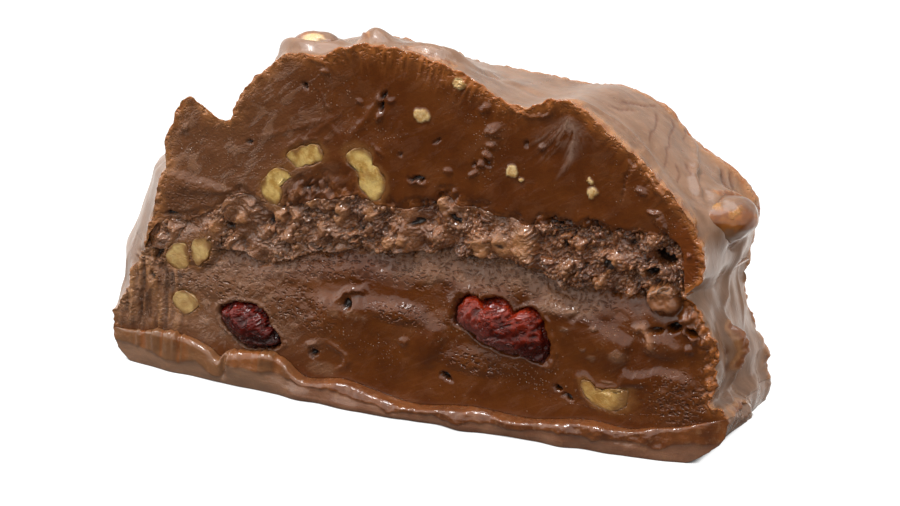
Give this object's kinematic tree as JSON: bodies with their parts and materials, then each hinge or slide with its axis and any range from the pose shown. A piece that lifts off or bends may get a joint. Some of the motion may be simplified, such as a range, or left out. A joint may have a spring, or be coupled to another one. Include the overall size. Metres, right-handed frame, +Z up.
{
  "type": "chocolate fudge slice",
  "caption": "Thick slice of a layered chocolate fudge mound with a crumb band, walnut pieces and dried cranberries, standing upright on its flat squeezed-out foot.",
  "frame": {"origin": "on the ground under the middle of the bounding box", "axes": "+X runs along the slice's width, towards the end with the walnut on its side; the front cut faces -Y; +Z is up"},
  "size_m": [0.1078, 0.0266, 0.0598],
  "materials": {
    "foot_chocolate": "glossy, smooth, squeezed chocolate",
    "fudge": "knife-cut, moist and glossy",
    "crumbs": "rough moist crumbs",
    "cranberry": "wrinkled and glossy",
    "walnut": "cut nut, slightly oily",
    "coated_walnut": "nut under a thin glossy coat of chocolate"
  },
  "bodies": {
    "root": {"base_coat": "foot_chocolate", "fudge_lower": "fudge", "crumb_layer": "crumbs", "fudge_upper": "fudge", "cranberry_left": "cranberry", "cranberry_right": "cranberry", "walnut_1": "walnut", "walnut_2": "walnut", "walnut_3": "walnut", "walnut_4": "walnut", "walnut_5": "walnut", "walnut_6": "walnut", "walnut_7": "walnut", "walnut_top": "coated_walnut", "walnut_side": "coated_walnut"}
  },
  "joints": []
}
